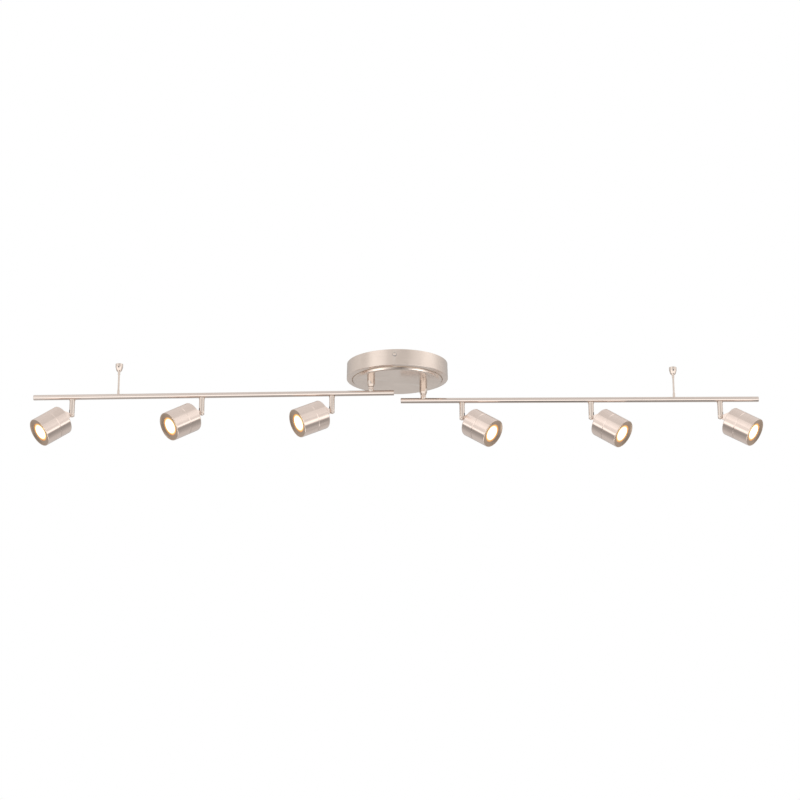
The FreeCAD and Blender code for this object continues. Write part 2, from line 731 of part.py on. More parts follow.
def make_stem(number, spotlight):
    """The stem that hangs from the bar, slotted at its lower end for the can's tab."""
    body = new_body("stem_%d_body" % number)
    revolve(body, (
        ("0", "sizes.stem_bottom"),
        ("sizes.stem_radius", "sizes.stem_bottom"),
        ("sizes.stem_radius", "sizes.stem_flange_bottom"),
        ("sizes.stem_flange_radius", "sizes.stem_flange_bottom"),
        ("sizes.stem_flange_radius", "sizes.stem_flange_top"),
        ("sizes.stem_spigot_radius", "sizes.stem_flange_top"),
        ("sizes.stem_spigot_radius", "sizes.stem_spigot_top"),
        ("0", "sizes.stem_spigot_top"),
    ))
    round_ring(body, size("stem_radius"), size("stem_bottom"), "sizes.stem_round")
    slot = box_outline(body, "YZ_Plane", "-sizes.slot_width / 2", "sizes.slot_width / 2",
                       "sizes.stem_bottom - 1", "sizes.slot_top")
    pocket(body, slot, both=True)
    hole = circles(body, "XZ_Plane", [("0", "-sizes.pivot_drop", "sizes.tilt_pin_hole")])
    pocket(body, hole, both=True)
    keep(body, "stem_%d" % number, stem_placement(spotlight))


def make_tilt_pin(number, spotlight):
    """The headed pin across the stem's slot that the can tilts on."""
    body = new_body("tilt_pin_%d_body" % number)
    end = "sizes.stem_radius + sizes.tilt_head_depth"
    revolve(body, (
        ("-" + "(" + end + ")", "0"),
        ("-" + "(" + end + ")", "sizes.tilt_head_radius"),
        ("-sizes.stem_radius", "sizes.tilt_head_radius"),
        ("-sizes.stem_radius", "sizes.tilt_pin_radius"),
        ("sizes.stem_radius", "sizes.tilt_pin_radius"),
        ("sizes.stem_radius", "sizes.tilt_head_radius"),
        (end, "sizes.tilt_head_radius"),
        (end, "0"),
    ), "H_Axis")
    cross = FreeCAD.Placement(UP * -size("pivot_drop"), FreeCAD.Rotation(UP, 90))
    keep(body, "tilt_pin_%d" % number, stem_placement(spotlight) * cross)


def make_rear_housing(number, spotlight):
    """The rear half of the can: a cup with the tab that reaches the tilt pin."""
    body = new_body("rear_housing_%d_body" % number)
    revolve(body, (
        ("sizes.can_rear", "0"),
        ("sizes.can_rear", "sizes.can_radius"),
        ("sizes.can_split", "sizes.can_radius"),
        ("sizes.can_split", "sizes.groove_floor_radius"),
        ("sizes.can_split + sizes.can_groove - 0.1", "sizes.groove_floor_radius"),
        ("sizes.can_split + sizes.can_groove - 0.1", "sizes.can_spigot_radius"),
        ("sizes.can_spigot_end", "sizes.can_spigot_radius"),
        ("sizes.can_spigot_end", "sizes.can_radius - sizes.can_wall - 1"),
        ("sizes.can_rear + sizes.can_back_wall", "sizes.can_radius - sizes.can_wall - 1"),
        ("sizes.can_rear + sizes.can_back_wall", "0"),
    ), "H_Axis")
    round_ring(body, size("can_radius"), size("can_rear"), "sizes.can_edge_round", AXIS_X)
    tab = outline(body, "XZ_Plane", (
        ("0", "-sizes.tab_half_height"),
        ("sizes.can_rear + 1", "-sizes.tab_half_height"),
        ("sizes.can_rear + 1", "sizes.gusset_top"),
        ("sizes.can_rear", "sizes.gusset_top"),
        ("sizes.gusset_start", "sizes.tab_half_height"),
        ("0", "sizes.tab_half_height"),
    ))
    pad(body, tab, "sizes.tab_thickness", both=True)
    eye = circles(body, "XZ_Plane", [("0", "0", "sizes.tab_half_height")])
    pad(body, eye, "sizes.tab_thickness", both=True)
    hole = circles(body, "XZ_Plane", [("0", "0", "sizes.tilt_pin_hole")])
    pocket(body, hole, both=True)
    keep(body, "rear_housing_%d" % number, can_placement(spotlight))


def make_front_barrel(number, spotlight):
    """The front half of the can, with the dished bezel round the lens."""
    body = new_body("front_barrel_%d_body" % number)
    lip = "sizes.can_front - sizes.bezel_recess"
    revolve(body, (
        ("sizes.can_split + sizes.can_groove", "sizes.barrel_seat_radius"),
        ("sizes.can_split + sizes.can_groove", "sizes.can_radius"),
        ("sizes.can_front", "sizes.can_radius"),
        ("sizes.can_front", "sizes.bezel_rim_radius"),
        (lip, "sizes.bezel_opening"),
        (lip + " - sizes.bezel_lip", "sizes.bezel_opening"),
        (lip + " - sizes.bezel_lip", "sizes.lens_seat_radius"),
        ("sizes.barrel_bore_end", "sizes.lens_seat_radius"),
        ("sizes.barrel_bore_end", "sizes.barrel_bore_radius"),
        ("sizes.barrel_seat_end", "sizes.barrel_bore_radius"),
        ("sizes.barrel_seat_end", "sizes.barrel_seat_radius"),
    ), "H_Axis")
    bevel_ring(body, size("can_radius"), size("can_front"), "sizes.cap_bevel", AXIS_X)
    keep(body, "front_barrel_%d" % number, can_placement(spotlight))


def make_lens(number, spotlight):
    """The frosted round lens behind the bezel's lip."""
    body = new_body("lens_%d_body" % number)
    front = "sizes.can_front - sizes.bezel_recess - sizes.bezel_lip"
    revolve(body, (
        (front + " - sizes.lens_thickness", "0"),
        (front + " - sizes.lens_thickness", "sizes.lens_radius"),
        (front, "sizes.lens_radius"),
        (front, "0"),
    ), "H_Axis")
    rear = size("can_front") - size("bezel_recess") - size("bezel_lip") - size("lens_thickness")
    bevel_ring(body, size("lens_radius"), rear, "sizes.lens_bevel", AXIS_X)
    keep(body, "lens_%d" % number, can_placement(spotlight))


def make_led_module(number, spotlight):
    """The lamp: a finned heat sink with the light source on its front."""
    body = new_body("led_module_%d_body" % number)
    corners = [("sizes.module_rear", "0")]
    for fin in range(3):
        place = "sizes.module_rear + %d * sizes.module_fin" % (2 * fin)
        corners.append((place, "sizes.module_radius"))
        corners.append((place + " + sizes.module_fin", "sizes.module_radius"))
        corners.append((place + " + sizes.module_fin", "sizes.module_core_radius"))
        corners.append((place + " + 2 * sizes.module_fin", "sizes.module_core_radius"))
    base = "sizes.module_rear + 6 * sizes.module_fin"
    corners.append((base, "sizes.module_radius"))
    corners.append(("sizes.module_front", "sizes.module_radius"))
    corners.append(("sizes.module_front", "sizes.chip_radius"))
    corners.append(("sizes.chip_front", "sizes.chip_radius"))
    corners.append(("sizes.chip_front", "0"))
    revolve(body, corners, "H_Axis")
    keep(body, "led_module_%d" % number, can_placement(spotlight))


# ---------------------------------------------------------------- the whole light

make_canopy_cover()
make_mounting_plate()
make_side_screws()
make_led_driver()
make_driver_screws()
make_terminal_block()
make_earth_screw()
make_post_sleeves()
make_post_locknuts()
make_driver_leads()

for arm_name in ARMS:
    make_arm_tube(arm_name)
    make_end_caps(arm_name)
    make_swivel_neck(arm_name)
    make_neck_clip(arm_name)
    make_support_rod(arm_name)
    make_support_cup(arm_name)
    make_cup_set_screw(arm_name)

for light_number, light in enumerate(SPOTLIGHTS, start=1):
    make_stem(light_number, light)
    make_tilt_pin(light_number, light)
    make_rear_housing(light_number, light)
    make_front_barrel(light_number, light)
    make_lens(light_number, light)
    make_led_module(light_number, light)

doc.recompute()

failed = [item.Name for item in doc.Objects if "Invalid" in item.State or "Error" in item.State]
if failed:
    raise RuntimeError("features failed: " + ", ".join(failed))
for item in subparts:
    if item.Shape.isNull() or not item.Shape.isValid():
        raise RuntimeError("bad shape: " + item.Label)

os.makedirs("parts", exist_ok=True)
for item in subparts:
    item.Shape.exportStep("parts/" + item.Label + ".step")
print("%d sub-parts written" % len(subparts))
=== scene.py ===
import bmesh
import bpy
import json
import math
from mathutils import Matrix, Vector


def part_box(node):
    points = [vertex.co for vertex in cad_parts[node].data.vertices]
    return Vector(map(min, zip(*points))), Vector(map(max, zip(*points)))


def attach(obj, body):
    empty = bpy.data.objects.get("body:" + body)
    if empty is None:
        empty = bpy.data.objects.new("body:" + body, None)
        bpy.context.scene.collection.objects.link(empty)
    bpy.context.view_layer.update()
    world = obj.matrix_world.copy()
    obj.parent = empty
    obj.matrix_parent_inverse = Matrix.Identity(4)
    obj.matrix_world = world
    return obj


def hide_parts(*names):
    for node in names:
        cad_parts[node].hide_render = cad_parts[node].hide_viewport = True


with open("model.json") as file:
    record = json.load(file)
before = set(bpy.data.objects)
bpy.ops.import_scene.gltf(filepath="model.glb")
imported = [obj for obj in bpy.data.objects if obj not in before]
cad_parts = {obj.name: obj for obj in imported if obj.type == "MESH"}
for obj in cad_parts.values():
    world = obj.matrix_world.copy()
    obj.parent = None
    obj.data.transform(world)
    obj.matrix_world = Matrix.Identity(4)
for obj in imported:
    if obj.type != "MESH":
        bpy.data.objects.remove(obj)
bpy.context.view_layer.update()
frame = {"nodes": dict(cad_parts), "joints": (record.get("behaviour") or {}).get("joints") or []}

# Sizes are in mm unless a name or a comment says otherwise, and MM takes them to metres.
MM = 0.001
UP = Vector((0, 0, 1))
UPRIGHT = Matrix.Identity(4)
ALONG_X = Matrix.Rotation(math.pi / 2, 4, "Y")
ALONG_Y = Matrix.Rotation(math.pi / 2, 4, "X")

ARM_STEMS = {"left": (3, 2, 1), "right": (4, 5, 6)}
SPOTS = range(1, 7)
joints = {joint["name"]: joint for joint in frame["joints"]}


# ---------------------------------------------------------------- places, read from the frame

def joint_place(name):
    return Vector(joints[name]["pos_m"])


def axes(x, y, z):
    """The rotation that has these three directions as its axes."""
    return Matrix((x, y, z)).transposed().to_4x4()


def arm_frame(arm, stems):
    """The arm's own frame: origin on its post's axis at the bar's height, X out along the bar."""
    post = joint_place(arm + "_arm_swing")
    outer = joint_place("spot_%d_pan" % stems[-1])
    out = (outer - post).normalized()
    return Matrix.Translation(post) @ axes(out, UP.cross(out), UP)


def tilt_directions(number):
    """The direction of a spotlight's tilt pin, and the level direction that its can faces."""
    pin = Vector(joints["spot_%d_tilt" % number]["axis"]).normalized()
    return pin, Vector((pin.y, -pin.x, 0))


def can_frame(number):
    """A can's own frame: origin on its tilt pin, Z along the beam, Y along the pin."""
    pin, level = tilt_directions(number)
    tilt = math.radians(-joints["spot_%d_tilt" % number]["range_deg"][0])
    beam = level * math.cos(tilt) - UP * math.sin(tilt)
    place = Matrix.Translation(joint_place("spot_%d_tilt" % number))
    return place @ axes(pin.cross(beam), pin, beam)


def pin_frame(number):
    """A tilt pin's own frame: origin in its middle, Z along the pin."""
    pin, level = tilt_directions(number)
    return Matrix.Translation(joint_place("spot_%d_tilt" % number)) @ axes(UP, -level, pin)


ARM_FRAMES = {arm: arm_frame(arm, stems) for arm, stems in ARM_STEMS.items()}


# ---------------------------------------------------------------- mesh building

SHARP = 32                            # degrees between faces over which an edge is sharp
NEARLY_STRAIGHT = math.radians(89)    # half the angle at a corner that is too flat to round
ON_AXIS = 1e-6


def rounded(corners, steps=5, hold=0.35):
    """A profile with its corners rounded: each corner is (radius, height, round).

    Each round has this many steps, and where there is room, a point this far (hold) before and
    after it, which keeps the smooth shading of the flat stretches flat.
    """
    count = len(corners)
    points = []
    for i in range(count):
        here = Vector(corners[i][:2])
        before = Vector(corners[i - 1][:2])
        after = Vector(corners[(i + 1) % count][:2])
        blend = corners[i][2]
        to_before = (before - here).normalized()
        to_after = (after - here).normalized()
        half = to_before.angle(to_after) / 2
        if blend <= 0 or half > NEARLY_STRAIGHT:
            points.append(here)
            continue
        cut = blend / math.tan(half)
        centre = here + (to_before + to_after).normalized() * (blend / math.sin(half))
        if (before - here).length > cut + 3 * hold:
            points.append(here + to_before * (cut + hold))
        first = here + to_before * cut - centre
        last = here + to_after * cut - centre
        sweep = first.angle_signed(last)
        for step in range(steps + 1):
            spoke = first.copy()
            spoke.rotate(Matrix.Rotation(-sweep * step / steps, 2))
            points.append(centre + spoke)
        if (after - here).length > cut + 3 * hold:
            points.append(here + to_after * (cut + hold))
    return [(max(p.x, 0.0), p.y) for p in points]


def turned(points, segments=96, shift=None):
    """Turn a closed profile of (radius, height) about Z. shift may move a radius by angle."""
    bm = bmesh.new()
    rings = []
    for radius, height in points:
        if radius < ON_AXIS:
            rings.append([bm.verts.new((0, 0, height * MM))])
            continue
        ring = []
        for k in range(segments):
            angle = 2 * math.pi * k / segments
            reach = (radius + (shift(angle, radius, height) if shift else 0.0)) * MM
            place = (reach * math.cos(angle), reach * math.sin(angle), height * MM)
            ring.append(bm.verts.new(place))
        rings.append(ring)
    for i, ring in enumerate(rings):
        other = rings[(i + 1) % len(rings)]
        if len(ring) == 1 and len(other) == 1:
            continue
        for k in range(segments):
            n = (k + 1) % segments
            if len(ring) == 1:
                bm.faces.new((ring[0], other[k], other[n]))
            elif len(other) == 1:
                bm.faces.new((ring[k], ring[n], other[0]))
            else:
                bm.faces.new((ring[k], ring[n], other[n], other[k]))
    bmesh.ops.recalc_face_normals(bm, faces=bm.faces)
    return bm


def block(size, centre=(0, 0, 0)):
    """A box, used only as a cutting tool."""
    bm = bmesh.new()
    bmesh.ops.create_cube(bm, size=1.0)
    scale = Matrix.Diagonal((size[0] * MM, size[1] * MM, size[2] * MM, 1.0))
    bm.transform(Matrix.Translation(Vector(centre) * MM) @ scale)
    return bm


def rod(radius, low, high, segments=48):
    """A round bar along Z, used only as a cutting tool."""
    return turned([(0, low), (radius, low), (radius, high), (0, high)], segments)


def shade(mesh, sharp=SHARP):
    mesh.shade_smooth()
    mesh.set_sharp_from_angle(angle=math.radians(sharp))


def finished(bm, name, sharp=SHARP):
    """The bmesh as a mesh with smooth faces, and sharp edges over this angle in degrees."""
    mesh = bpy.data.meshes.new(name)
    bm.to_mesh(mesh)
    bm.free()
    shade(mesh, sharp)
    return mesh


def combined(base, tools, name, operation="DIFFERENCE", sharp=SHARP):
    """The base with each tool cut out of it or joined to it. A tool is (bmesh, matrix)."""
    carrier = bpy.data.objects.new(name + "_work", finished(base, name + "_base", sharp))
    bpy.context.scene.collection.objects.link(carrier)
    helpers = []
    for i, (bm, matrix) in enumerate(tools):
        tool = bpy.data.objects.new("%s_tool_%d" % (name, i), finished(bm, name + "_tool", sharp))
        tool.matrix_world = matrix
        bpy.context.scene.collection.objects.link(tool)
        helpers.append(tool)
        modifier = carrier.modifiers.new("tool_%d" % i, "BOOLEAN")
        modifier.object = tool
        modifier.operation = operation
        modifier.solver = "EXACT"
    bpy.context.view_layer.update()
    evaluated = carrier.evaluated_get(bpy.context.evaluated_depsgraph_get())
    result = bpy.data.meshes.new_from_object(evaluated)
    result.name = name
    for thing in [carrier, *helpers]:
        data = thing.data
        bpy.data.objects.remove(thing)
        bpy.data.meshes.remove(data)
    shade(result, sharp)
    return result


def to_bmesh(mesh):
    bm = bmesh.new()
    bm.from_mesh(mesh)
    bpy.data.meshes.remove(mesh)
    return bm


def piece(name, mesh, matrix, body, material, stands_for):
    """A visible piece that rides on a body and stands for one CAD node."""
    item = bpy.data.objects.new(name, mesh)
    item.matrix_world = matrix
    bpy.context.scene.collection.objects.link(item)
    mesh.materials.clear()
    mesh.materials.append(material)
    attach(item, body)
    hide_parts(stands_for)


def on_each_can(name, mesh, material, node):
    """The same mesh on all six cans. name and node take the spotlight's number."""
    for n in SPOTS:
        piece(name % n, mesh, can_frame(n), "spot_%d" % n, material, node % n)


def refinish(mesh, material, chosen):
    """Give some faces one more material, once the mesh's pieces are made.

    chosen says which, from the radius and the height of a face's centre.
    """
    mesh.materials.append(material)
    for polygon in mesh.polygons:
        centre = polygon.center
        if chosen(math.hypot(centre.x, centre.y) / MM, centre.z / MM):
            polygon.material_index = len(mesh.materials) - 1


# ---------------------------------------------------------------- materials

class Nodes:
    """Adds nodes and links to one node tree."""

    def __init__(self, tree):
        self.tree = tree

    def add(self, kind, inputs=None, **settings):
        node = self.tree.nodes.new(kind)
        for key, value in settings.items():
            setattr(node, key, value)
        for key, value in (inputs or {}).items():
            self.put(node.inputs[key], value)
        return node

    def put(self, socket, value):
        if isinstance(value, bpy.types.NodeSocket):
            self.tree.links.new(value, socket)
        else:
            socket.default_value = value

    def maths(self, operation, *values):
        return self.add("ShaderNodeMath", dict(enumerate(values)), operation=operation).outputs[0]

    def mixed(self, a, share_a, b, share_b):
        """Two values added, each times its share."""
        return self.maths("ADD", self.maths("MULTIPLY", a, share_a),
                          self.maths("MULTIPLY", b, share_b))

    def span(self, value, taken, given=(0.0, 1.0)):
        """The value with the range taken stretched to the range given."""
        inputs = {"Value": value, "From Min": taken[0], "From Max": taken[1],
                  "To Min": given[0], "To Max": given[1]}
        return self.add("ShaderNodeMapRange", inputs).outputs[0]

    def ramp(self, value, stops):
        """A colour ramp through stops of (position, colour)."""
        node = self.add("ShaderNodeValToRGB", {0: value})
        elements = node.color_ramp.elements
        for element, (position, colour) in zip(elements, (stops[0], stops[-1])):
            element.position = position
            element.color = colour
        for position, colour in stops[1:-1]:
            elements.new(position).color = colour
        return node.outputs[0]

    def noise(self, vector, scale, detail=3.0, roughness=0.55, w=None):
        inputs = {"Vector": vector, "Scale": scale, "Detail": detail, "Roughness": roughness}
        if w is None:
            return self.add("ShaderNodeTexNoise", inputs).outputs["Fac"]
        inputs["W"] = w
        return self.add("ShaderNodeTexNoise", inputs, noise_dimensions="4D").outputs["Fac"]

    def blend(self, factor, dark, light):
        node = self.add("ShaderNodeMix", {0: factor, 6: dark, 7: light}, data_type="RGBA")
        return node.outputs[2]


class Paint(Nodes):
    """The nodes of one material, and its shader."""

    def __init__(self, name):
        self.material = bpy.data.materials.new(name)
        self.material.use_nodes = True
        super().__init__(self.material.node_tree)
        self.shader = self.tree.nodes["Principled BSDF"]

    def set(self, **inputs):
        for key, value in inputs.items():
            self.put(self.shader.inputs[key.replace("_", " ")], value)

    def place(self, matrix=None):
        """Object coordinates, taken into the given frame if there is one."""
        coordinates = self.add("ShaderNodeTexCoord").outputs["Object"]
        if matrix is None:
            return coordinates
        into = matrix.inverted()
        inputs = {"Vector": coordinates, "Location": into.to_translation(),
                  "Rotation": into.to_euler()}
        return self.add("ShaderNodeMapping", inputs).outputs["Vector"]

    def scaled(self, parts, x, y, z):
        """The separate X, Y and Z again as one vector, each times its own number."""
        return self.add("ShaderNodeCombineXYZ", {
            0: self.maths("MULTIPLY", parts[0], x),
            1: self.maths("MULTIPLY", parts[1], y),
            2: self.maths("MULTIPLY", parts[2], z),
        }).outputs[0]

    def radius(self, parts):
        """The distance from the Z axis."""
        flat = self.add("ShaderNodeCombineXYZ", {0: parts[0], 1: parts[1], 2: 0.0}).outputs[0]
        return self.add("ShaderNodeVectorMath", {0: flat}, operation="LENGTH").outputs["Value"]

    def bump(self, height, strength, distance):
        inputs = {"Strength": strength, "Distance": distance, "Height": height}
        return self.add("ShaderNodeBump", inputs).outputs[0]


# Scales are in cycles per metre, and bump distances are in metres.
LINES = 2600.0              # brushed lines, counted across them
TURNED_ALONG = 9.0          # how fast a line changes along its length, turned and drawn
DRAWN_ALONG = 26.0
CLOUD = 38.0
RUB = 9.0
TONE_RANGE = (0.30, 0.72)   # the noise's values that are stretched to the full range
NOISE_RANGE = (0.3, 0.7)
EDGE_RANGE = (0.505, 0.56)  # the pointiness from where an edge starts to where it is fully lightened, as wear and painted highlight
NICKEL_BUMP = 0.00004
WEAR_AND_HIGHLIGHT = 0.45                 # how much of the edges' wear and painted highlight shows
# The colour that sharp edges blend to: wear, with a painted edge highlight.
WORN_AND_HIGHLIT = (0.86, 0.80, 0.74, 1.0)
NICKEL_DARK = (0.70, 0.600, 0.535, 1.0)
NICKEL_LIGHT = (0.84, 0.735, 0.665, 1.0)


def nickel(name, grain, rough, spread=0.08, relief=0.05, anisotropy=0.0, matrix=None,
           dark=NICKEL_DARK, light=NICKEL_LIGHT):
    """Satin nickel, brushed: grain is 'turned' (lines round Z) or 'drawn' (lines along X)."""
    n = Paint(name)
    at = n.place(matrix)
    parts = n.add("ShaderNodeSeparateXYZ", {0: at}).outputs
    if grain == "turned":
        stretch = n.scaled(parts, TURNED_ALONG, TURNED_ALONG, LINES)
        streak = n.noise(stretch, 1.0, 4.0, 0.7, n.maths("MULTIPLY", n.radius(parts), LINES))
    else:
        streak = n.noise(n.scaled(parts, DRAWN_ALONG, LINES, LINES), 1.0, 4.0, 0.7)
    cloud = n.noise(at, CLOUD, 4.0, 0.6)
    rub = n.noise(at, RUB, 2.0, 0.5)
    edge = n.span(n.add("ShaderNodeNewGeometry").outputs["Pointiness"], EDGE_RANGE)
    tone = n.span(n.mixed(streak, 0.62, cloud, 0.38), TONE_RANGE)
    sheen = n.span(n.mixed(streak, 0.6, rub, 0.4), NOISE_RANGE,
                   (rough - spread / 2, rough + spread / 2))
    # Sharp edges are lightened: partly wear, partly a painted edge highlight.
    colour = n.blend(n.maths("MULTIPLY", edge, WEAR_AND_HIGHLIGHT), n.blend(tone, dark, light), WORN_AND_HIGHLIT)
    n.set(Base_Color=colour, Metallic=1.0, Roughness=sheen,
          Normal=n.bump(streak, relief, NICKEL_BUMP))
    if anisotropy:
        n.set(Anisotropic=anisotropy)
        n.set(Tangent=n.add("ShaderNodeTangent", direction_type="RADIAL", axis="Z").outputs[0])
    return n.material


LENS_REACH = 0.0164         # metres from the lens's middle to the bezel's opening
LENS_GLOW = 2.6
LENS_ROUGH = (0.30, 0.48)
GRIT = 900.0
GRIT_SHIFT = (-0.02, 0.02)  # how far the grit moves the stops below
GRIT_BUMP = 0.0001
LENS_STOPS = (
    (0.0, (1.0, 0.93, 0.80, 1.0)),
    (0.68, (1.0, 0.88, 0.66, 1.0)),
    (0.765, (0.60, 0.42, 0.20, 1.0)),
    (0.82, (0.42, 0.24, 0.09, 1.0)),
    (0.90, (0.28, 0.14, 0.05, 1.0)),
    (1.0, (0.20, 0.095, 0.035, 1.0)),
)


def lit_lens():
    """Frosted lens, lit from behind: white hot in the middle, amber where it meets the bezel."""
    n = Paint("lit_lens")
    at = n.place()
    parts = n.add("ShaderNodeSeparateXYZ", {0: at}).outputs
    grit = n.noise(at, GRIT, 3.0, 0.6)
    reach = n.maths("ADD", n.span(n.radius(parts), (0.0, LENS_REACH)),
                    n.span(grit, NOISE_RANGE, GRIT_SHIFT))
    glow = n.ramp(reach, LENS_STOPS)
    n.set(Base_Color=glow, Roughness=n.span(grit, NOISE_RANGE, LENS_ROUGH),
          Normal=n.bump(grit, 0.25, GRIT_BUMP), Emission_Color=glow, Emission_Strength=LENS_GLOW)
    return n.material


STEEL_SPREAD = 0.08         # how far the roughness varies either way
STEEL_RANGE = (0.2, 0.8)
STEEL_CLOUD = 60.0
STEEL_BUMP = 0.00005
SCRATCHES = (30.0, 1800.0, 600.0)
SCRATCH_TURN = 0.6          # radians
PLASTIC_SPREAD = 0.06
PLASTIC_CLOUD = 40.0
PLASTIC_BUMP = 0.0001


def plated_steel(name, dark, light, rough, scale=420.0):
    """Zinc plate or bare steel: a fine crystal mottle with a few scratches."""
    n = Paint(name)
    at = n.place()
    cells = n.add("ShaderNodeTexVoronoi", {"Vector": at, "Scale": scale}).outputs["Color"]
    mottle = n.add("ShaderNodeSeparateColor", {0: cells}).outputs[0]
    tone = n.mixed(mottle, 0.5, n.noise(at, STEEL_CLOUD, 4.0), 0.5)
    skewed = n.add("ShaderNodeMapping", {"Vector": at, "Scale": SCRATCHES,
                                         "Rotation": (0.0, 0.0, SCRATCH_TURN)}).outputs[0]
    n.set(Base_Color=n.blend(tone, dark, light), Metallic=1.0,
          Roughness=n.span(tone, STEEL_RANGE, (rough - STEEL_SPREAD, rough + STEEL_SPREAD)),
          Normal=n.bump(n.noise(skewed, 1.0, 3.0), 0.15, STEEL_BUMP))
    return n.material


def plastic(name, dark, light, rough, scale=1500.0, relief=0.3):
    """Moulded plastic with a fine spark-eroded skin."""
    n = Paint(name)
    at = n.place()
    skin = n.noise(at, scale, 3.0, 0.6)
    tone = n.mixed(skin, 0.4, n.noise(at, PLASTIC_CLOUD, 3.0), 0.6)
    n.set(Base_Color=n.blend(tone, dark, light),
          Roughness=n.span(skin, NOISE_RANGE, (rough - PLASTIC_SPREAD, rough + PLASTIC_SPREAD)),
          Normal=n.bump(skin, relief, PLASTIC_BUMP))
    return n.material


TURNED_CANOPY = nickel("nickel_canopy_turned", "turned", 0.22, anisotropy=0.45)
TURNED = nickel("nickel_turned", "turned", 0.16, spread=0.05)
# The posts' nickel is darker than the canopy's: painted shade for the dark that the posts mirror.
SHADED_POLISHED = nickel("nickel_post_polished_shaded", "turned", 0.07, spread=0.02, relief=0.02,
                  dark=(0.58, 0.49, 0.43, 1.0), light=(0.70, 0.60, 0.53, 1.0))
TURNED_CAN = nickel("nickel_can_turned", "turned", 0.13, spread=0.05,
                    dark=(0.77, 0.645, 0.58, 1.0), light=(0.90, 0.775, 0.71, 1.0))
# Darker, browner nickel: painted dark reflection on the bezel's dish, and painted shade in the
# canopy's crease.
SHADED_NICKEL = nickel("nickel_painted_shade", "turned", 0.30, relief=0.0,
               dark=(0.46, 0.34, 0.255, 1.0), light=(0.62, 0.48, 0.375, 1.0))
# Orange-tinted nickel on the bezel's lip: painted light spilling from the lens.
LIP_GLOW_NICKEL = nickel("nickel_lip_painted_glow", "turned", 0.5, relief=0.0,
                    dark=(0.80, 0.50, 0.27, 1.0), light=(0.88, 0.58, 0.34, 1.0))
LENS = lit_lens()
ZINC = plated_steel("zinc_plate", (0.50, 0.52, 0.55, 1), (0.72, 0.73, 0.74, 1), 0.34)
SPRING = plated_steel("spring_steel", (0.24, 0.24, 0.26, 1), (0.36, 0.36, 0.38, 1), 0.30, 900.0)
CAST = plated_steel("cast_aluminium", (0.58, 0.59, 0.61, 1), (0.72, 0.73, 0.75, 1), 0.45, 700.0)
CASE = plastic("driver_case", (0.72, 0.72, 0.70, 1), (0.82, 0.82, 0.80, 1), 0.48)
TERMINAL = plastic("terminal_plastic", (0.74, 0.72, 0.65, 1), (0.84, 0.82, 0.76, 1), 0.42)
SLEEVE = plastic("lead_sleeve", (0.015, 0.015, 0.017, 1), (0.035, 0.035, 0.04, 1), 0.42,
                 2200.0, 0.15)
EARTH = plastic("earth_green", (0.02, 0.16, 0.045, 1), (0.04, 0.26, 0.08, 1), 0.30, 1200.0, 0.1)


CAD_SHARP = 30              # degrees


def repaint(node, material):
    """Give a CAD node a finished material."""
    item = frame["nodes"][node]
    for entry in item.material_slots:
        entry.link = "OBJECT"
        entry.material = material
    shade(item.data, CAD_SHARP)


# ---------------------------------------------------------------- canopy

POST_PLACES = (joint_place("left_arm_swing"), joint_place("right_arm_swing"))
FACE_DROP = -1000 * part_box("canopy_cover")[0].z
CANOPY_R = 1000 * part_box("canopy_cover")[1].x

WALL = 1.2
DRAFT = 0.6                 # how much narrower the wall is at the ceiling
SHOULDER_DROP = 27.8
LEDGE_R = 79.0
LEDGE_DROP = 28.9
FACE_R = 75.5
# The spun crease: out from LEDGE_R, up from the ledge, and its rounds.
CREASE = ((0.8, 0.1, 0.15), (0.2, 0.8, 0.1), (-0.5, -0.6, 0.15))
CREASE_SHADE_REACH = (-0.6, 0.9)  # the faces this far out from LEDGE_R, and below this height, are painted dark: painted shade in the crease
CREASE_SHADE_TOP = 0.85 - LEDGE_DROP
STEP_ROUND = 6.0
POST_HOLE_R = 5.0

SCREW_ACROSS = -4.4
SCREW_DROP = 9.6
SCREW_HOLE_R = 1.8
SCREW_SHANK_R = 1.5
SCREW_TIP_R = 1.2
SCREW_TIP = 80.0            # from the canopy's axis, like the next
SCREW_SEAT = 88.7
SCREW_HEAD_R = 3.3
SCREW_DOME_R = 2.2
SCREW_TOP = SCREW_SEAT + 2.4
SCREW_SHADE_R = 2.7           # outside this the head is painted dark: a painted shade ring round its rim
CROSS_RECESS = (3.1, 0.62, 2.6)


def canopy_profile():
    """The cover's section: wall, ledge, spun crease, rounded step, flat face, and back inside."""
    return rounded([
        (CANOPY_R - DRAFT - WALL, 0.0, 0.25),
        (CANOPY_R - DRAFT, 0.0, 0.45),
        (CANOPY_R, -SHOULDER_DROP, 0.8),
        *[(LEDGE_R + out, up - LEDGE_DROP, blend) for out, up, blend in CREASE],
        (FACE_R, -FACE_DROP, STEP_ROUND),
        (0.0, -FACE_DROP, 0.0),
        (0.0, WALL - FACE_DROP, 0.0),
        (FACE_R - 0.6, WALL - FACE_DROP, 3.0),
        (LEDGE_R - 0.6, WALL - LEDGE_DROP, 0.4),
        (CANOPY_R - WALL, WALL - SHOULDER_DROP, 0.3),
    ], steps=10, hold=0.6)


def make_canopy():
    tools = []
    for post in POST_PLACES:
        tools.append((rod(POST_HOLE_R, -60, -20), Matrix.Translation((post.x, post.y, 0))))
    across = Matrix.Translation((SCREW_ACROSS * MM, 0, -SCREW_DROP * MM)) @ ALONG_Y
    tools.append((rod(SCREW_HOLE_R, -100, 100, 32), across))
    mesh = combined(turned(canopy_profile(), 192), tools, "canopy_shell")
    piece("canopy_shell", mesh, UPRIGHT, "canopy", TURNED_CANOPY, "canopy_cover")
    # Painted shade: the crease's faces take the darker nickel, as a shadow line.
    inner, outer = CREASE_SHADE_REACH
    refinish(mesh, SHADED_NICKEL, lambda radius, height: (
        inner < radius - LEDGE_R < outer and height < CREASE_SHADE_TOP))


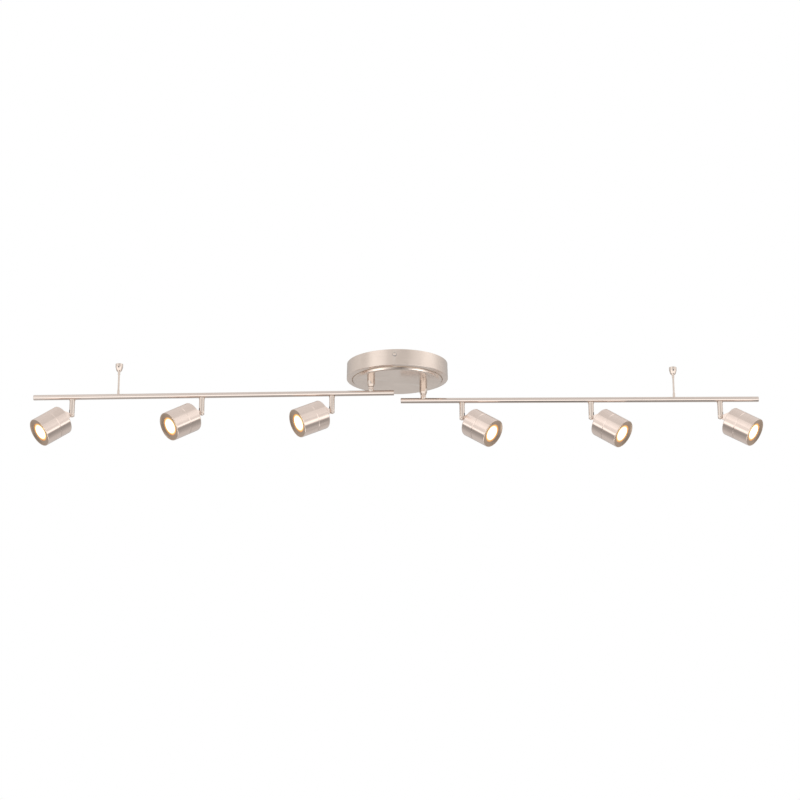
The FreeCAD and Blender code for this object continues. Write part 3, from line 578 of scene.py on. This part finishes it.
def make_side_screws():
    """Domed cross-head screws, one in front and one behind."""
    profile = rounded([
        (0.0, SCREW_TIP, 0), (SCREW_TIP_R, SCREW_TIP, 0), (SCREW_SHANK_R, SCREW_TIP + 0.6, 0),
        (SCREW_SHANK_R, SCREW_SEAT, 0), (SCREW_HEAD_R, SCREW_SEAT, 0.2),
        (SCREW_HEAD_R, SCREW_TOP - 1.0, 0.6), (SCREW_DOME_R, SCREW_TOP - 0.15, 1.4),
        (0.0, SCREW_TOP, 0),
    ], steps=4, hold=0.2)
    cuts = []
    for turn in (0, math.pi / 2):
        recess = block(CROSS_RECESS, (0, 0, SCREW_TOP - 0.2))
        cuts.append((recess, Matrix.Rotation(turn, 4, "Z")))
    mesh = combined(turned(profile, 48), cuts, "side_screw")
    for side, name in ((1, "front"), (-1, "back")):
        place = Matrix.Translation((SCREW_ACROSS * MM, 0, -SCREW_DROP * MM))
        place = place @ Matrix.Rotation(side * math.pi / 2, 4, "X")
        piece("side_screw_" + name, mesh, place, "canopy", TURNED, "side_screws")
    # Painted shade: the head's rim takes the dark spring steel.
    refinish(mesh, SPRING, lambda radius, height: radius > SCREW_SHADE_R and height > SCREW_SEAT)


POST_R = 6.9
POST_TAPER = -44.5
POST_FOOT_R = 5.2
POST_FOOT = -48.8
POST_SOCKET_R = 4.9
POST_SOCKET = -22.5
POST_BORE_R = 2.55


def make_posts():
    profile = rounded([
        (POST_BORE_R, POST_FOOT, 0.15), (POST_FOOT_R, POST_FOOT, 0.35), (POST_R, POST_TAPER, 0.5),
        (POST_R, -FACE_DROP, 0), (POST_SOCKET_R, -FACE_DROP, 0),
        (POST_SOCKET_R, POST_SOCKET, 0.3), (POST_BORE_R, POST_SOCKET, 0.15),
    ])
    mesh = finished(turned(profile, 72), "post_sleeve")
    for post, side in zip(POST_PLACES, ("left", "right")):
        place = Matrix.Translation((post.x, post.y, 0))
        piece("post_sleeve_" + side, mesh, place, "canopy", SHADED_POLISHED,
              "post_sleeves")


# ---------------------------------------------------------------- arms

# Heights are above the bar's axis, in the rod's parts too.
NECK_R = 4.8
NECK_LOW = 2.0
NECK_HIGH = 10.9
KNURL_LOW = 6.0
KNURL_HIGH = 10.0
KNURL_DEPTH = 0.26
KNURL_EASE = 0.3            # the knurl runs out over this height at its two edges
KNURL_ROUND = 30            # diamonds round the neck, and up it
KNURL_TALL = 4.4
KNURL_BANDS = 36
KNURL_FROM_R = 4.5          # rings inside this aren't on the neck's surface
NECK_PIN_R = 2.5
NECK_GROOVE_R = 2.0
NECK_GROOVE = (38.1, 38.9)
NECK_PIN_TOP = 39.7
BAR_R = 4.8


def knurl(angle, radius, height):
    """How far the diamond knurl is cut into the neck at this place."""
    if radius < KNURL_FROM_R or not KNURL_LOW <= height <= KNURL_HIGH:
        return 0.0
    across = angle / (2 * math.pi) * KNURL_ROUND
    along = (height - KNURL_LOW) / (KNURL_HIGH - KNURL_LOW) * KNURL_TALL
    ridges = (abs((across + along) % 1.0 - 0.5) * 2, abs((across - along) % 1.0 - 0.5) * 2)
    ease = min(1.0, (height - KNURL_LOW) / KNURL_EASE, (KNURL_HIGH - height) / KNURL_EASE)
    return -KNURL_DEPTH * max(ridges) ** 2 * ease


def make_neck(arm):
    """The knurled neck that saddles the bar, with its pin up into the post."""
    lower = rounded([(0.0, NECK_LOW, 0), (NECK_R, NECK_LOW, 0), (NECK_R, KNURL_LOW - 0.1, 0)])
    grip = [(NECK_R, KNURL_LOW + (KNURL_HIGH - KNURL_LOW) * i / KNURL_BANDS)
            for i in range(KNURL_BANDS + 1)]
    groove_low, groove_high = NECK_GROOVE
    upper = rounded([
        (NECK_R, KNURL_HIGH + 0.1, 0), (NECK_R, NECK_HIGH, 0.5), (NECK_PIN_R, NECK_HIGH, 0.2),
        (NECK_PIN_R, groove_low, 0), (NECK_GROOVE_R, groove_low, 0),
        (NECK_GROOVE_R, groove_high, 0), (NECK_PIN_R, groove_high, 0),
        (NECK_PIN_R, NECK_PIN_TOP, 0.4), (0.0, NECK_PIN_TOP, 0),
    ])
    base = turned(lower + grip + upper, 240, knurl)
    mesh = combined(base, [(rod(BAR_R, -20, 20, 96), ALONG_X)], "swivel_neck", sharp=50)
    piece("swivel_neck_%s_grip" % arm, mesh, ARM_FRAMES[arm], "arm_" + arm,
          TURNED, "swivel_neck_" + arm)


SUPPORT_ALONG = 0.443       # metres from the post's axis out along the bar
ROD_R = 1.6
FERRULE_R = 2.1
FERRULE_TOP = 12.0
FERRULE_GROOVE_R = 1.85
FERRULE_GROOVE = (11.25, 11.5)
GROOVE_SLOPE = 0.15


def support_frame(arm):
    return ARM_FRAMES[arm] @ Matrix.Translation((SUPPORT_ALONG, 0, 0))


def make_support_rod(arm):
    """The rod up to the ceiling, with the grooved ferrule at its foot."""
    top = 1000 * (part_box("support_rod_" + arm)[1].z - ARM_FRAMES[arm].translation.z)
    groove_low, groove_high = FERRULE_GROOVE
    profile = rounded([
        (0.0, 0.0, 0), (FERRULE_R, 0.0, 0.15), (FERRULE_R, groove_low - GROOVE_SLOPE, 0.12),
        (FERRULE_GROOVE_R, groove_low, 0), (FERRULE_GROOVE_R, groove_high, 0),
        (FERRULE_R, groove_high + GROOVE_SLOPE, 0.12), (FERRULE_R, FERRULE_TOP, 0.15),
        (ROD_R, FERRULE_TOP, 0.08), (ROD_R, top, 0.3), (0.0, top, 0),
    ], hold=0.2)
    mesh = finished(turned(profile, 48), "support_rod_" + arm)
    piece("support_rod_%s_turned" % arm, mesh, support_frame(arm), "arm_" + arm,
          TURNED, "support_rod_" + arm)


# Heights are from the ceiling, so they are below 0.
THREAD_TURNS = 9
THREAD_LOW = -5.0
THREAD_TALL = 4.6
THREAD_INNER_R = 2.1
THREAD_OUTER_R = 2.32
THREAD_MOUTH_R = 2.5
CUP_R = 6.6
CUP_WAIST_R = 5.0
CUP_FOOT_R = 2.6
CUP_TAIL_R = 2.1
CUP_BEAD_R = 2.25
CUP_STRAIGHT = -6.0
CUP_WAIST = -12.4
CUP_TAIL_TOP = -14.9
CUP_BEAD = -19.7
CUP_LOW = -20.0
CUP_BORE_R = 1.65
CUP_SCREW_DROP = 7.3
CUP_SCREW_R = 1.25
CUP_SCREW_POINT_R = 1.0
CUP_SCREW_HOLE_R = 1.3
CUP_SCREW_SPAN = (1.7, 4.7)   # from the cup's axis
HEX_SOCKET_R = 0.78
HEX_SOCKET_DEEP = 3.3


def make_cups():
    """The goblet-shaped ceiling cups, threaded above and bored for the rod, with set screws."""
    pitch = THREAD_TALL / THREAD_TURNS
    inner = []
    for i in range(THREAD_TURNS):
        height = THREAD_LOW + THREAD_TALL * i / THREAD_TURNS
        inner += [(THREAD_INNER_R, height), (THREAD_OUTER_R, height + pitch / 2)]
    inner += [(THREAD_INNER_R, THREAD_LOW + THREAD_TALL), (THREAD_MOUTH_R, 0.0)]
    outer = rounded([
        (CUP_R, 0.0, 0.4), (CUP_R, CUP_STRAIGHT, 6.0), (CUP_WAIST_R, CUP_WAIST, 3.0),
        (CUP_FOOT_R, CUP_TAIL_TOP, 0.25), (CUP_TAIL_R, CUP_TAIL_TOP, 0.1),
        (CUP_TAIL_R, CUP_BEAD + 0.1, 0.1), (CUP_BEAD_R, CUP_BEAD, 0.05),
        (CUP_TAIL_R, CUP_LOW, 0.1), (CUP_BORE_R, CUP_LOW, 0.1), (CUP_BORE_R, THREAD_LOW, 0),
    ], hold=0.25)
    screw_turn = Matrix.Translation((0, 0, -CUP_SCREW_DROP * MM)) @ ALONG_Y
    hole = (rod(CUP_SCREW_HOLE_R, 0, 12, 32), screw_turn)
    cup = combined(turned(outer + inner, 96), [hole], "support_cup")
    start, end = CUP_SCREW_SPAN
    screw_profile = rounded([
        (0.0, start, 0), (CUP_SCREW_POINT_R, start, 0), (CUP_SCREW_R, start + 0.3, 0),
        (CUP_SCREW_R, end, 0.15), (0.0, end + 0.2, 0),
    ], hold=0.1)
    socket = (rod(HEX_SOCKET_R, HEX_SOCKET_DEEP, end + 1.3, 6), UPRIGHT)
    screw = combined(turned(screw_profile, 32), [socket], "cup_screw")
    for arm in ARM_FRAMES:
        centre = support_frame(arm).translation
        place = Matrix.Translation((centre.x, centre.y, 0))
        piece("support_cup_%s_turned" % arm, cup, place, "cup_" + arm, TURNED,
              "support_cup_" + arm)
        piece("cup_screw_%s_socket" % arm, screw, place @ screw_turn, "cup_" + arm,
              SPRING, "cup_set_screw_" + arm)


# ---------------------------------------------------------------- spotlights

# Heights are along the beam from the tilt pin.
CAN_R = 25.4
CAN_REAR = 20.6
CAN_SPLIT = 43.2
CAN_CHAMFER = 0.6
CAN_GROOVE = 0.8
CAN_STEP = 0.7              # how far the groove's floor reaches past the split
GROOVE_FLOOR = 24.8
CAN_FRONT = 72.2
SPIGOT_R = 24.0             # the rear half's spigot, which the front half slides over
SPIGOT_END = 47.0
REAR_BORE_R = 22.4
REAR_FLOOR = 23.6

BEZEL_RIM = 24.5
BEZEL_OPENING = 16.4
BEZEL_EDGE_WIDE = 0.4       # from the opening to the dish's innermost ring
BEZEL_RECESS = 2.05
BEZEL_SAG = 0.25
BEZEL_RINGS = 14
BEZEL_LIP = 0.8
LIP = CAN_FRONT - BEZEL_RECESS
LENS_SEAT_R = 17.5
LENS_SEAT = 66.4
BARREL_BORE_R = 23.3
SOCKET_R = 24.05            # the front half's socket for the spigot
SOCKET_END = 47.5

PIVOT_EYE = 3.6
PIVOT_HOLE_R = 1.55
LINK = 2.4                  # the link plate's thickness
LINK_EDGE = 0.3
LINK_START = 2.0
LINK_TOP = 23.4
LINK_ROOT = 21.3
EYE_STEPS = 24


def link_plate():
    """The thin plate that joins a can to its stem, with a round eye for the tilt pin."""
    outline = [(PIVOT_EYE, LINK_ROOT)]
    for step in range(EYE_STEPS + 1):
        angle = -math.pi * step / EYE_STEPS
        outline.append((PIVOT_EYE * math.cos(angle), PIVOT_EYE * math.sin(angle)))
    outline += [(-PIVOT_EYE, LINK_START), (-LINK_TOP, CAN_REAR), (-LINK_TOP, LINK_ROOT)]
    bm = bmesh.new()
    face = bm.faces.new([bm.verts.new((x * MM, -LINK / 2 * MM, z * MM)) for x, z in outline])
    moved = bmesh.ops.extrude_face_region(bm, geom=[face])["geom"]
    corners = [v for v in moved if isinstance(v, bmesh.types.BMVert)]
    bmesh.ops.translate(bm, verts=corners, vec=(0, LINK * MM, 0))
    bmesh.ops.recalc_face_normals(bm, faces=bm.faces)
    rims = [e for e in bm.edges if abs(e.verts[0].co.y - e.verts[1].co.y) < 1e-7]
    bmesh.ops.bevel(bm, geom=rims, offset=LINK_EDGE * MM, segments=3, affect="EDGES", profile=0.5)
    eye = (rod(PIVOT_HOLE_R, -5, 5, 32), ALONG_Y)
    return to_bmesh(combined(bm, [eye], "can_link"))


def make_rear_housings():
    """The rear half of each can: a turned shell with its link plate."""
    shell = turned(rounded([
        (0.0, CAN_REAR, 0), (CAN_R, CAN_REAR, 1.5), (CAN_R, CAN_SPLIT - CAN_CHAMFER, 0.1),
        (GROOVE_FLOOR, CAN_SPLIT, 0.1), (GROOVE_FLOOR, CAN_SPLIT + CAN_STEP, 0.05),
        (SPIGOT_R, CAN_SPLIT + CAN_STEP, 0.1), (SPIGOT_R, SPIGOT_END, 0.2),
        (REAR_BORE_R, SPIGOT_END, 0.2), (REAR_BORE_R, REAR_FLOOR, 1.0), (0.0, REAR_FLOOR, 0),
    ]), 144)
    mesh = combined(shell, [(link_plate(), UPRIGHT)], "rear_housing", "UNION")
    on_each_can("rear_can_%d", mesh, TURNED_CAN, "rear_housing_%d")


def make_front_barrels():
    """The front half of each can: a turned barrel, with a dished bezel cut in fine steps."""
    dish = []
    for i in range(1, BEZEL_RINGS):
        share = i / BEZEL_RINGS
        radius = BEZEL_RIM + (BEZEL_OPENING + BEZEL_EDGE_WIDE - BEZEL_RIM) * share
        height = CAN_FRONT - BEZEL_RECESS * share - BEZEL_SAG * math.sin(math.pi * share)
        dish.append((radius, height, 0))
    start = CAN_SPLIT + CAN_GROOVE
    barrel = rounded([
        (SOCKET_R, start, 0.1), (CAN_R, start, 0.3), (CAN_R, CAN_FRONT, 0.45),
        (BEZEL_RIM, CAN_FRONT, 0.15), *dish, (BEZEL_OPENING, LIP, 0.2),
        (BEZEL_OPENING, LIP - BEZEL_LIP, 0.1), (LENS_SEAT_R, LIP - BEZEL_LIP, 0),
        (LENS_SEAT_R, LENS_SEAT, 0), (BARREL_BORE_R, LENS_SEAT, 0),
        (BARREL_BORE_R, SOCKET_END, 0), (SOCKET_R, SOCKET_END, 0),
    ])
    mesh = finished(turned(barrel, 192), "front_barrel", 40)
    on_each_can("front_can_%d", mesh, TURNED_CAN, "front_barrel_%d")
    # The dish takes the darker nickel, a painted dark reflection.
    refinish(mesh, SHADED_NICKEL, lambda radius, height: (
        radius < BEZEL_RIM + 0.2 and height > LIP - BEZEL_LIP + 0.05))
    # The lip takes the orange nickel, painted lens light.
    refinish(mesh, LIP_GLOW_NICKEL, lambda radius, height: (
        radius < BEZEL_OPENING + 0.25 and height > LENS_SEAT))


LENS_R = 17.4
LENS_EDGE = 0.3
LENS_THICK = 2.4
LENS_FLAT_R = 16.3
RINGS = 6                   # the fine rings start at RINGS_R and go inwards
RINGS_R = 16.0
RING_APART = 0.5
RING_RISE = 0.02            # how much each ring is higher than the one outside it
RING_TALL = 0.12
DOME_R = 12.6
DOME_STEPS = 12
DOME_FOOT = 0.2
DOME_RISE = 0.55


def make_lenses():
    """A frosted lens, domed a little, with fine rings near its edge."""
    front = LIP - BEZEL_LIP
    rear = front - LENS_THICK
    points = [(0.0, rear), (LENS_R - LENS_EDGE, rear), (LENS_R, rear + LENS_EDGE),
              (LENS_R, front - 0.1), (LENS_FLAT_R, front - 0.05)]
    for i in range(RINGS):
        outer = RINGS_R - i * RING_APART
        foot = front + RING_RISE * (i + 1)
        points += [(outer, foot), (outer - RING_APART / 2, foot + RING_TALL)]
    for i in range(DOME_STEPS):
        radius = DOME_R * (1 - i / DOME_STEPS)
        points.append((radius, front + DOME_FOOT + DOME_RISE * (1 - (radius / DOME_R) ** 2)))
    points.append((0.0, front + DOME_FOOT + DOME_RISE))
    mesh = finished(turned(points), "lens", 60)
    on_each_can("lens_glass_%d", mesh, LENS, "lens_%d")


PIN_END = 5.85
PIN_HEAD_R = 2.4
PIN_HEAD_SEAT = 4.75
PIN_R = 1.5
PIN_SLOT = (6.0, 0.6, 1.0)
PIN_SLOT_TURN = 0.5         # radians


def make_tilt_pins():
    """Pins with a slotted head at each end, which the cans tilt on."""
    profile = rounded([
        (0.0, -PIN_END, 0), (PIN_HEAD_R, -PIN_END, 0.3), (PIN_HEAD_R, -PIN_HEAD_SEAT, 0.1),
        (PIN_R, -PIN_HEAD_SEAT, 0), (PIN_R, PIN_HEAD_SEAT, 0), (PIN_HEAD_R, PIN_HEAD_SEAT, 0.1),
        (PIN_HEAD_R, PIN_END, 0.3), (0.0, PIN_END, 0),
    ], hold=0.2)
    cuts = []
    for side in (-1, 1):
        slot = block(PIN_SLOT, (0, 0, side * (PIN_END + 0.05)))
        cuts.append((slot, Matrix.Rotation(PIN_SLOT_TURN * side, 4, "Z")))
    mesh = combined(turned(profile, 48), cuts, "tilt_pin")
    for n in SPOTS:
        piece("tilt_pin_%d_slotted" % n, mesh, pin_frame(n), "swivel_%d" % n,
              TURNED, "tilt_pin_%d" % n)


make_canopy()
make_side_screws()
make_posts()
for side in ARM_FRAMES:
    make_neck(side)
    make_support_rod(side)
make_cups()
make_rear_housings()
make_front_barrels()
make_lenses()
make_tilt_pins()

for side, placed in ARM_FRAMES.items():
    drawn = nickel("nickel_tube_" + side, "drawn", 0.12, spread=0.05, matrix=placed,
                   dark=(0.67, 0.55, 0.50, 1.0), light=(0.80, 0.67, 0.615, 1.0))
    repaint("arm_tube_" + side, drawn)
    repaint("end_caps_" + side, drawn)
    repaint("neck_clip_" + side, SPRING)
for number in SPOTS:
    stem_place = Matrix.Translation(joint_place("spot_%d_pan" % number))
    repaint("stem_%d" % number,
            nickel("nickel_stem_%d" % number, "turned", 0.17, matrix=stem_place))
    repaint("led_module_%d" % number, CAST)
for node, finish in (
    ("mounting_plate", ZINC), ("led_driver", CASE), ("driver_screws", ZINC),
    ("terminal_block", TERMINAL), ("earth_screw", EARTH), ("post_locknuts", ZINC),
    ("driver_leads", SLEEVE),
):
    repaint(node, finish)


# ---------------------------------------------------------------- floor, light and camera

# All in metres.
FLOOR_DROP = 3.7
FLOOR_HALF = 60.0
SOFTBOX_SIZE = 3.0
CAMERA_PLACE = Vector((0.0046, -3.3782, -1.0535))
CAMERA_PITCH = math.radians(16.30)
CAMERA_ROLL = -0.0043
CAMERA_LENS = 90.3          # mm, on a sensor 36 mm wide

# The studio's brightness going round the X axis, as (degrees, level): 0 is the horizon behind
# the camera, 90 is overhead, 180 is the horizon behind the light and -90 is underneath.
ROUND = (
    (-180, 0.67), (-164, 0.67), (-142, 0.66), (-126, 0.48), (-96, 0.37), (-76, 0.37),
    (-62, 0.42), (-48, 0.90), (-40, 1.42), (-16, 1.48), (-6, 1.00), (4, 0.85), (34, 0.74),
    (60, 0.76), (110, 0.82), (150, 0.76), (180, 0.66),
)
# Soft patches on top of that: azimuth, elevation, width, height (degrees) and strength.
PATCHES = (
    (-53, 20, 22, 24, 0.25), (79, 34, 22, 25, 0.58), (18, 24, 24, 22, -0.08),
    (180, 14, 44, 18, -0.24), (-80, -60, 32, 14, 2.60), (94, -60, 28, 14, 3.00),
    (14, -58, 17, 18, -0.40),
)
RAMP_FULL = 2.0             # a colour ramp holds levels up to 1, so they are halved in it
DARKEST = 0.05
WARMTH = (0.985, 0.965)     # the light's green and blue, as shares of its red
PAINT_DARK = (0.90, 0.90, 0.90, 1)
PAINT_LIGHT = (0.93, 0.93, 0.93, 1)


def make_floor():
    bm = bmesh.new()
    bmesh.ops.create_grid(bm, x_segments=1, y_segments=1, size=FLOOR_HALF)
    mesh = bpy.data.meshes.new("studio_floor")
    bm.to_mesh(mesh)
    bm.free()
    floor = bpy.data.objects.new("studio_floor", mesh)
    floor.location = (0, 0, -FLOOR_DROP)
    bpy.context.scene.collection.objects.link(floor)
    n = Paint("studio_floor_paint")
    speck = n.noise(n.place(), 3.0, 3.0)
    n.set(Base_Color=n.blend(speck, PAINT_DARK, PAINT_LIGHT), Roughness=0.9)
    mesh.materials.append(n.material)
    floor.visible_glossy = False
    floor.visible_diffuse = False


def make_studio():
    """A white studio. What the metal mirrors is brighter at the sides than behind the camera."""
    world = bpy.data.worlds.new("studio")
    bpy.context.scene.world = world
    world.use_nodes = True
    world.node_tree.nodes.clear()
    n = Nodes(world.node_tree)

    direction = n.add("ShaderNodeTexCoord").outputs["Generated"]
    x, y, z = n.add("ShaderNodeSeparateXYZ", {0: direction}).outputs
    front = n.maths("MULTIPLY", y, -1.0)
    turn = n.maths("ARCTAN2", x, front)
    rise = n.maths("ARCSINE", z)

    def squared(angle, width):
        share = n.maths("ABSOLUTE", n.maths("DIVIDE", angle, math.radians(width)))
        return n.maths("POWER", share, 2.0)

    def lobe(azimuth, elevation, wide, tall, strength):
        """A soft bright or, below 0, dark patch. Azimuth 0 is behind the camera, 90 is +X."""
        across = n.maths("SUBTRACT", turn, math.radians(azimuth))
        across = n.maths("WRAP", across, math.pi, -math.pi)
        upward = n.maths("SUBTRACT", rise, math.radians(elevation))
        far = n.maths("ADD", squared(across, wide), squared(upward, tall))
        return n.maths("MULTIPLY", n.maths("EXPONENT", n.maths("MULTIPLY", far, -1.0)), strength)

    round_x = n.span(n.maths("ARCTAN2", z, front), (-math.pi, math.pi))
    stops = [((angle + 180) / 360, (level / RAMP_FULL,) * 3 + (1,)) for angle, level in ROUND]
    grey = n.add("ShaderNodeRGBToBW", {0: n.ramp(round_x, stops)}).outputs[0]
    light = n.maths("MULTIPLY", grey, RAMP_FULL)
    for patch in PATCHES:
        light = n.maths("ADD", light, lobe(*patch))
    light = n.maths("MAXIMUM", light, DARKEST)
    green, blue = (n.maths("MULTIPLY", light, share) for share in WARMTH)
    tint = n.add("ShaderNodeCombineColor", {0: light, 1: green, 2: blue})
    mirrored = n.add("ShaderNodeBackground", {"Color": tint.outputs[0], "Strength": 1.0})
    seen = n.add("ShaderNodeBackground", {"Color": (1, 1, 1, 1), "Strength": 1.0})
    camera_ray = n.add("ShaderNodeLightPath").outputs["Is Camera Ray"]
    mix = n.add("ShaderNodeMixShader", {0: camera_ray, 1: mirrored.outputs[0], 2: seen.outputs[0]})
    n.add("ShaderNodeOutputWorld", {"Surface": mix.outputs[0]})


def make_softbox(name, place, power):
    """A large square lamp that points at the canopy."""
    data = bpy.data.lights.new(name, "AREA")
    data.shape = "RECTANGLE"
    data.size = data.size_y = SOFTBOX_SIZE
    data.energy = power
    data.color = (1.0, *WARMTH)
    lamp = bpy.data.objects.new(name, data)
    lamp.location = place
    lamp.rotation_mode = "QUATERNION"
    lamp.rotation_quaternion = (-Vector(place)).to_track_quat("-Z", "Y")
    lamp.visible_camera = False
    bpy.context.scene.collection.objects.link(lamp)


def make_camera():
    data = bpy.data.cameras.new("camera")
    data.sensor_width = 36.0
    data.lens = CAMERA_LENS
    data.clip_start, data.clip_end = 0.05, 200.0
    forward = Vector((0, math.cos(CAMERA_PITCH), math.sin(CAMERA_PITCH)))
    up = Vector((0, -math.sin(CAMERA_PITCH), math.cos(CAMERA_PITCH)))
    across = Vector((1, 0, 0))
    right = across * math.cos(CAMERA_ROLL) + up * math.sin(CAMERA_ROLL)
    top = up * math.cos(CAMERA_ROLL) - across * math.sin(CAMERA_ROLL)
    camera = bpy.data.objects.new("camera", data)
    camera.matrix_world = Matrix.Translation(CAMERA_PLACE) @ axes(right, top, -forward)
    bpy.context.scene.collection.objects.link(camera)
    bpy.context.scene.camera = camera


make_floor()
make_studio()
make_softbox("key_softbox", (-2.4, -2.4, 2.4), 6.0)
make_softbox("fill_softbox", (2.6, -2.2, 2.0), 4.0)
make_camera()

view_settings = bpy.context.scene.view_settings
view_settings.view_transform = "Standard"
view_settings.look = "None"
view_settings.exposure = 0.0
view_settings.gamma = 1.0
